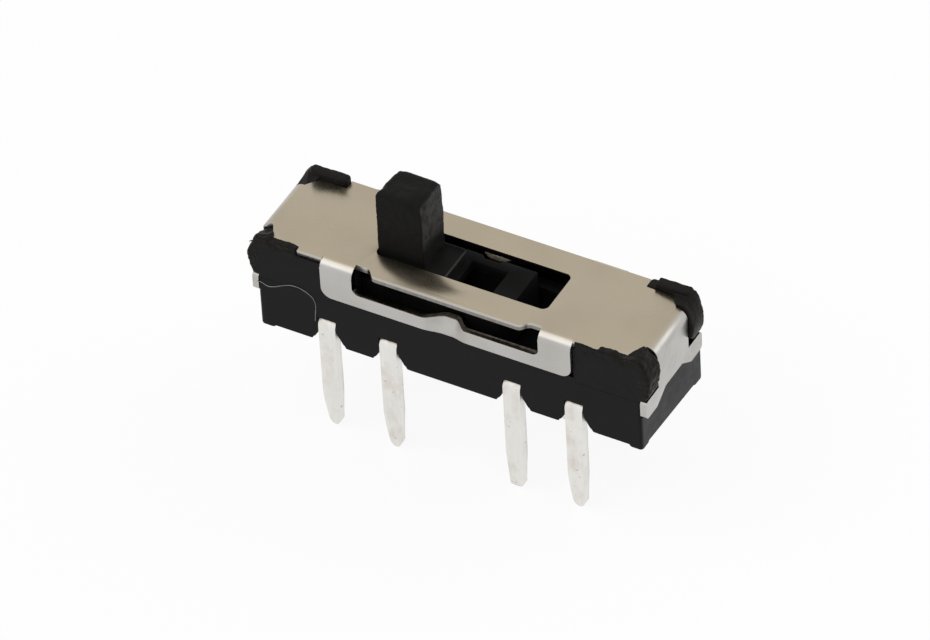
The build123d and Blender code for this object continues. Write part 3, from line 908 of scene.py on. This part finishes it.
def shape_knob(knob, sizes, top):
    """Wears and roughens the knob, mostly at its top."""
    make_soft(knob, sizes.grain, 14)
    places = [vertex.co for vertex in knob.data.vertices]
    left, right = min(place.x for place in places), max(place.x for place in places)
    front, back = min(place.y for place in places), max(place.y for place in places)

    def free(place):
        return min(1.0, max(0.0, (place.z - BODY_TOP - 0.05) / 0.5))

    roughen(knob, 0.60, sizes.knob_waviness, free)
    roughen(knob, 0.20, sizes.knob_waviness * 0.5, free)
    roughen(knob, 0.07, sizes.knob_waviness * 0.3, free)
    pull(knob, (left, front + 0.35, top), 0.26, (0.03, 0.0, -0.05))
    pull(knob, (left, (front + back) / 2 + 0.15, top), 0.55, (0.07, 0.0, -0.01))
    pull(knob, (left, back, top), 0.45, (0.12, -0.03, -0.02))
    pull(knob, (right, back, top), 0.25, (-0.02, -0.02, -0.03))
    pull(knob, (right, front, top), 0.55, (-0.06, 0.05, -0.10))
    pull(knob, (right, (front + back) / 2, top - 0.5), 0.6, (-0.03, 0.0, 0.0))
    shrink(knob, 0.004)
    over = max(vertex.co.z for vertex in knob.data.vertices) - top
    for vertex in knob.data.vertices:
        vertex.co.z -= over * ease(vertex.co.z, BODY_TOP + 0.1, top - 0.2)


class SWITCH_OT_slider(Operator):
    """Builds the slider with its worn, grainy knob"""

    bl_idname = "switch.slider"
    bl_label = "Slider and knob"

    def execute(self, context):
        sizes = context.scene.switch_sizes
        colours = context.scene.switch_colours
        piece = copy_node("slider", "knob_slider")
        box_low, box_high = node_box_mm("slider")
        grip_low = Vector((box_low.x, box_low.y, GRIP_BOTTOM)) - Vector((1.0, 1.0, 0.0))
        grip_high = box_high + Vector((1.0, 1.0, 1.0))
        knob = split_off(piece, "knob", grip_low, grip_high, ((0, 0, SEAM), (0, 0, 0)))
        shape_knob(knob, sizes, box_high.z)
        merge_in(piece, knob)
        keep_inside(piece, box_low, box_high)
        round_edges(piece, sizes.moulded_edge, where=is_below_grip)
        smooth_shading(piece)
        material = plastic_material("slider_plastic", colours.knob_black, (0.5, 0.66), 16.0, 0.008)
        finish_piece(piece, SLIDING_UNIT, "slider_plastic", material, "slider")
        return {"FINISHED"}


FAR = 8.0
UNDERSIDE = 0.20
CORNER_INNER = 0.82
CORNER_BOTTOM = 1.86
CORNERS = {
    "front_left": (-1, -1),
    "front_right": (1, -1),
    "back_left": (-1, 1),
    "back_right": (1, 1),
}
CORNER_START = {"front_left": 4.74, "front_right": 4.12, "back_left": 4.74, "back_right": 4.74}


BURR = (Vector((-6.16, -1.28, 2.98)), Vector((-6.485, -1.53, 2.95)))


def add_burr(root, tip):
    """A thin flake of plastic drawn out of the formed corner."""
    bpy.ops.object.select_all(action="DESELECT")
    bpy.ops.mesh.primitive_cone_add(
        vertices=12, radius1=0.05, radius2=0.012, depth=(tip - root).length
    )
    burr = bpy.context.active_object
    burr.name = "burr"
    bpy.ops.object.mode_set(mode="EDIT")
    bpy.ops.mesh.select_all(action="SELECT")
    bpy.ops.mesh.subdivide(number_cuts=3)
    bpy.ops.object.mode_set(mode="OBJECT")
    burr.rotation_euler = (tip - root).to_track_quat("Z", "Y").to_euler()
    burr.location = (root + tip) / 2
    bpy.ops.object.transform_apply(location=True, rotation=True, scale=True)
    pull(burr, (root + tip) / 2, 0.16, (0.0, 0.0, 0.03))
    return burr


def is_plain(start, end):
    """Whether an edge of the base is clear of the formed corners."""
    clear = min(CORNER_START.values()) - SEAM
    low = CORNER_BOTTOM - SEAM
    return all(abs(place.x) < clear or place.z < low for place in (start, end))


def is_notch_mouth(start, end):
    """Whether an edge is one of those where the leg notches open at the underside."""
    level = abs(start.z - UNDERSIDE) < 0.01 and abs(end.z - UNDERSIDE) < 0.01
    return level and abs(start.x - end.x) < 0.01 and abs(start.x) < 5.4


CORNER_PULLS = {
    "front_left": (
        ((-6.22, -1.00, 3.40), 0.62, (0.06, -0.07, -0.20)),
        ((-6.45, -1.60, 3.10), 0.50, (0.06, 0.0, -0.02)),
    ),
    "front_right": (
        ((6.30, -0.90, 3.45), 0.45, (-0.10, -0.04, -0.05)),
        ((6.45, -0.95, 2.40), 0.34, (-0.03, -0.10, 0.0)),
        ((5.65, -1.40, 3.40), 0.35, (0.0, 0.0, -0.04)),
    ),
    "back_left": (
        ((-6.20, 0.95, 3.42), 0.62, (0.14, 0.08, -0.16)),
    ),
    "back_right": (
        ((6.20, 1.60, 3.50), 0.60, (0.09, 0.0, 0.02)),
        ((6.30, 0.95, 2.10), 0.30, (0.0, 0.0, -0.05)),
    ),
}


def shape_corner(name, corner, sizes):
    """Gives one formed corner the uneven look of plastic pressed over metal."""
    start = CORNER_START[name]
    evenness = 1.0 if name.startswith("front") else 0.55
    if name == "back_right":
        carve(corner, ((4.0, 1.0, 3.37), (5.12, 2.2, 4.0)))
    if name == "front_right":
        fill(corner, ((4.12, -1.70, 3.0), (5.0, -1.61, 3.37)))
    make_soft(corner, sizes.grain, 4)

    def free(place):
        room = min(abs(place.x) - start, place.z - CORNER_BOTTOM) - SEAM
        return min(1.0, max(0.0, room / 0.25))

    def pressed(place):
        """Most uneven near the top edge, where the plastic was pressed."""
        high = min(1.0, max(0.0, (place.z - 2.6) / 0.5))
        beyond = min(1.0, max(0.0, (abs(place.x) - 6.1) / 0.15))
        if abs(place.y) > 1.64 and abs(place.x) < 6.1:
            high *= ease(place.z, 3.05, 3.28)
        return free(place) * evenness * (0.08 + 0.92 * max(high, beyond))

    roughen(corner, 0.40, sizes.corner_waviness, pressed)
    roughen(corner, 0.14, sizes.corner_waviness * 0.6, pressed)
    roughen(corner, 0.06, sizes.corner_waviness * 0.15, pressed)
    for place, reach, move in CORNER_PULLS.get(name, ()):
        pull(corner, place, reach, move)
    shrink(corner, 0.004)
    if name == "front_left":
        merge_in(corner, add_burr(*BURR))


class SWITCH_OT_base(Operator):
    """Builds the moulded base with its corners formed over the cover"""

    bl_idname = "switch.base"
    bl_label = "Base and formed corners"

    def execute(self, context):
        sizes = context.scene.switch_sizes
        colours = context.scene.switch_colours
        piece = copy_node("base", "moulded_base")
        low, high = node_box_mm("base")
        round_edges(piece, 0.10, where=is_notch_mouth, segments=4)
        for vertex in piece.data.vertices:
            if abs(vertex.co.z - UNDERSIDE) < 0.01:
                vertex.co.z -= 0.06
        corners = {}
        for name, (along, across) in CORNERS.items():
            x_low, x_high = sorted((along * CORNER_START[name], along * FAR))
            y_low, y_high = sorted((across * CORNER_INNER, across * FAR))
            before = (SEAM * (along > 0), SEAM * (across > 0), SEAM)
            after = (SEAM * (along < 0), SEAM * (across < 0), 0.0)
            limits = (x_low, y_low, CORNER_BOTTOM), (x_high, y_high, FAR)
            corners[name] = split_off(piece, name, *limits, (before, after))
        for name, corner in corners.items():
            shape_corner(name, corner, sizes)
            merge_in(piece, corner)
        round_edges(piece, sizes.moulded_edge, where=is_plain)
        for vertex in piece.data.vertices:
            place = vertex.co
            swell = ease(place.x, 4.9, 6.2) * ease(place.y, 0.3, 1.6) * ease(place.z, 2.0, 1.4)
            place += swell * Vector((0.10, 0.09, 0.0))
        keep_inside(piece, (low.x, low.y, low.z), (high.x, 1.79, high.z))
        close_up(piece, 0.004)
        smooth_shading(piece)
        material = plastic_material(
            "base_plastic", colours.base_black, (0.42, 0.56), 20.0, 0.01, colours.formed_black
        )
        finish_piece(piece, HOUSING, "base_plastic", material, "base")
        return {"FINISHED"}


LINT_PATH = ((-6.20, 1.68), (-6.08, 1.71), (-5.95, 1.62), (-5.80, 1.59), (-5.52, 1.73),
             (-5.18, 1.93), (-4.88, 1.97), (-4.63, 1.90), (-4.42, 1.78), (-4.31, 1.62),
             (-4.29, 1.40), (-4.33, 1.15), (-4.35, 0.86))


class SWITCH_OT_lint(Operator):
    """Lays the stray fibre on the front of the base"""

    bl_idname = "switch.lint"
    bl_label = "Stray fibre"

    def execute(self, context):
        thickness = context.scene.switch_sizes.lint_thickness
        front = -node_box_mm("base")[1].y
        bpy.ops.object.select_all(action="DESELECT")
        bpy.ops.curve.primitive_nurbs_path_add()
        fibre = bpy.context.active_object
        fibre.name = "stray_fibre"
        line = fibre.data.splines[0]
        line.points.add(len(LINT_PATH) - len(line.points))
        for point, (x, z) in zip(line.points, LINT_PATH):
            point.co = (x, front - thickness / 3, z, 1.0)
        line.use_endpoint_u = True
        line.order_u = 4
        fibre.data.dimensions = "3D"
        fibre.data.bevel_depth = thickness / 2
        fibre.data.bevel_resolution = 2
        fibre.data.resolution_u = 6
        fibre.data.use_fill_caps = True
        bpy.ops.object.convert(target="MESH")
        smooth_shading(fibre)
        finish_piece(fibre, HOUSING, "base_plastic", lint_material())
        return {"FINISHED"}


# ---- Stage ----------------------------------------------------------------------------------------
ROOM_PATCHES = (
    ((-0.378, -0.45, 0.81), 0.93, 0.78, (1.25, 1.22, 1.18)),
    ((0.68, 0.62, 0.36), 0.93, 0.72, (1.5, 1.5, 1.5)),
)


def place_camera(stage):
    """Puts the camera at its distance from the switch, turned, raised and rolled."""
    a, e, r = stage.azimuth, stage.elevation, stage.roll
    back = Vector((sin(a) * cos(e), -cos(a) * cos(e), sin(e)))
    level = Vector((0, 0, 1)).cross(back).normalized()
    upright = back.cross(level)
    right = level * cos(r) + upright * sin(r)
    up = upright * cos(r) - level * sin(r)
    turn = Matrix((right, up, back)).transposed()
    bpy.ops.object.camera_add()
    camera = bpy.context.active_object
    camera.name = "camera"
    offset = Vector((-0.387 * MM, 0.891 * MM, stage.distance))
    camera.matrix_world = Matrix.Translation(turn @ offset) @ turn.to_4x4()
    camera.data.sensor_width = 36.0
    camera.data.lens = stage.focal_length
    camera.data.clip_start = 0.01
    camera.data.clip_end = 10.0
    bpy.context.scene.camera = camera


def add_lamp(name, power, size, direction, distance, colour=(1.0, 1.0, 1.0)):
    """A square area lamp at a distance along a direction, facing the switch."""
    location = Vector(direction).normalized() * distance
    bpy.ops.object.light_add(type="AREA", location=location)
    lamp = bpy.context.active_object
    lamp.name = name
    lamp.rotation_euler = location.to_track_quat("Z", "Y").to_euler()
    lamp.data.energy = power
    lamp.data.size = size
    lamp.data.color = colour
    return lamp


BACKGROUND_RAYS = ("Is Camera Ray", "Is Glossy Ray", "Is Transmission Ray")


def rays_seen(tree, kinds):
    """1 for any of these kinds of ray and 0 for the others."""
    path = tree.nodes.new("ShaderNodeLightPath")
    total = path.outputs[kinds[0]]
    for kind in kinds[1:]:
        either = tree.nodes.new("ShaderNodeMath")
        either.operation = "MAXIMUM"
        tree.links.new(total, either.inputs[0])
        tree.links.new(path.outputs[kind], either.inputs[1])
        total = either.outputs["Value"]
    return total


def white_to_camera(tree, surface, strength=1.0):
    """The surface's shader, shown as plain white to the kinds of ray that see the background."""
    white = tree.nodes.new("ShaderNodeEmission")
    white.inputs["Strength"].default_value = strength
    mix = tree.nodes.new("ShaderNodeMixShader")
    tree.links.new(rays_seen(tree, BACKGROUND_RAYS), mix.inputs["Fac"])
    tree.links.new(surface, mix.inputs[1])
    tree.links.new(white.outputs["Emission"], mix.inputs[2])
    return mix.outputs["Shader"]


def patch(tree, direction_output, towards, near, far):
    """1 in a direction, falling to 0 between two cosines."""
    dot = tree.nodes.new("ShaderNodeVectorMath")
    dot.operation = "DOT_PRODUCT"
    tree.links.new(direction_output, dot.inputs[0])
    dot.inputs[1].default_value = Vector(towards).normalized()
    remap = tree.nodes.new("ShaderNodeMapRange")
    remap.interpolation_type = "SMOOTHSTEP"
    remap.inputs["From Min"].default_value = far
    remap.inputs["From Max"].default_value = near
    tree.links.new(dot.outputs["Value"], remap.inputs["Value"])
    return remap.outputs["Result"]


def make_world(stage):
    """Soft light all round with a bright ceiling in front, a dark horizon and a bright window."""
    world = bpy.data.worlds.new("soft_room")
    bpy.context.scene.world = world
    world.use_nodes = True
    tree = world.node_tree
    tree.nodes.clear()
    output = tree.nodes.new("ShaderNodeOutputWorld")
    room = tree.nodes.new("ShaderNodeBackground")
    place = tree.nodes.new("ShaderNodeTexCoord")
    axes = tree.nodes.new("ShaderNodeSeparateXYZ")
    tree.links.new(place.outputs["Generated"], axes.inputs["Vector"])
    table = spread(tree, axes.outputs["Z"], 1.0, 0.0, -0.12, -0.04)
    colour = blend_colours(tree, table, tuple(stage.sky), (0.66, 0.66, 0.66))
    low_band = spread(tree, axes.outputs["Z"], 1.0, 0.0, 0.16, 0.42)
    forward = spread(tree, axes.outputs["Y"], 1.0, 0.0, -0.75, -0.15)
    above_table = spread(tree, axes.outputs["Z"], 0.0, 1.0, -0.10, -0.04)
    both = multiply(tree, multiply(tree, low_band, forward), above_table)
    colour = blend_colours(tree, both, colour, (0.13, 0.12, 0.11))
    for towards, near, far, light in ROOM_PATCHES:
        amount = patch(tree, place.outputs["Generated"], towards, near, far)
        colour = blend_colours(tree, amount, colour, light)
    tree.links.new(colour, room.inputs["Color"])
    shown = white_to_camera(tree, room.outputs["Background"])
    tree.links.new(shown, output.inputs["Surface"])


def make_floor():
    """A plain pale floor under the tips of the legs, seen through from below."""
    low = CAD_BOX[0][2]
    bpy.ops.object.select_all(action="DESELECT")
    bpy.ops.mesh.primitive_plane_add(size=0.16, location=(0, 0, low))
    floor = bpy.context.active_object
    floor.name = "floor"
    material = bpy.data.materials.new("pale_floor")
    material.use_nodes = True
    tree = material.node_tree
    tree.nodes.clear()
    output = tree.nodes.new("ShaderNodeOutputMaterial")
    paper = tree.nodes.new("ShaderNodeBsdfDiffuse")
    paper.inputs["Color"].default_value = (0.88, 0.88, 0.88, 1.0)
    glow = tree.nodes.new("ShaderNodeEmission")
    share = tree.nodes.new("ShaderNodeMixShader")
    weight = tree.nodes.new("ShaderNodeMath")
    weight.operation = "MULTIPLY"
    weight.inputs[1].default_value = 0.90
    tree.links.new(rays_seen(tree, BACKGROUND_RAYS), weight.inputs[0])
    tree.links.new(weight.outputs["Value"], share.inputs["Fac"])
    tree.links.new(paper.outputs["BSDF"], share.inputs[1])
    tree.links.new(glow.outputs["Emission"], share.inputs[2])
    clear = tree.nodes.new("ShaderNodeBsdfTransparent")
    side = tree.nodes.new("ShaderNodeNewGeometry")
    both = tree.nodes.new("ShaderNodeMixShader")
    tree.links.new(side.outputs["Backfacing"], both.inputs["Fac"])
    tree.links.new(share.outputs["Shader"], both.inputs[1])
    tree.links.new(clear.outputs["BSDF"], both.inputs[2])
    tree.links.new(both.outputs["Shader"], output.inputs["Surface"])
    floor.data.materials.append(material)


class SWITCH_OT_stage(Operator):
    """Sets the pale floor, soft lamps, room light and camera"""

    bl_idname = "switch.stage"
    bl_label = "Stage"

    def execute(self, context):
        stage = context.scene.switch_stage
        place_camera(stage)
        make_world(stage)
        make_floor()
        add_lamp("key_lamp", stage.key_power, 0.30, (-0.378, -0.45, 0.81), 0.36)
        add_lamp("fill_lamp", stage.fill_power, 0.20, (0.85, 0.55, 0.45), 0.36)
        context.scene.view_settings.view_transform = "Standard"
        return {"FINISHED"}


class SWITCH_PT_panel(Panel):
    """Lists the steps that finish the switch"""

    bl_label = "Slide Switch"
    bl_idname = "SWITCH_PT_panel"
    bl_space_type = "VIEW_3D"
    bl_region_type = "UI"
    bl_category = "Slide Switch"

    def draw(self, context):
        for step in STEPS:
            self.layout.operator(step.bl_idname)
        for group in ("switch_sizes", "switch_colours", "switch_stage"):
            box = self.layout.box()
            settings = getattr(context.scene, group)
            for name in settings.__annotations__:
                box.prop(settings, name)


STEPS = (
    SWITCH_OT_stage,
    SWITCH_OT_base,
    SWITCH_OT_cover,
    SWITCH_OT_slider,
    SWITCH_OT_contacts,
    SWITCH_OT_terminals,
    SWITCH_OT_lint,
)
CLASSES = (SwitchSizes, SwitchColours, StageSettings, *STEPS, SWITCH_PT_panel)


def register():
    for each in CLASSES:
        bpy.utils.register_class(each)
    bpy.types.Scene.switch_sizes = PointerProperty(type=SwitchSizes)
    bpy.types.Scene.switch_colours = PointerProperty(type=SwitchColours)
    bpy.types.Scene.switch_stage = PointerProperty(type=StageSettings)


def unregister():
    del bpy.types.Scene.switch_stage
    del bpy.types.Scene.switch_colours
    del bpy.types.Scene.switch_sizes
    for each in reversed(CLASSES):
        bpy.utils.unregister_class(each)


def main():
    register()
    bpy.ops.switch.stage()
    bpy.ops.switch.base()
    bpy.ops.switch.cover()
    bpy.ops.switch.slider()
    bpy.ops.switch.contacts()
    bpy.ops.switch.terminals()
    bpy.ops.switch.lint()


if __name__ == "__main__":
    main()
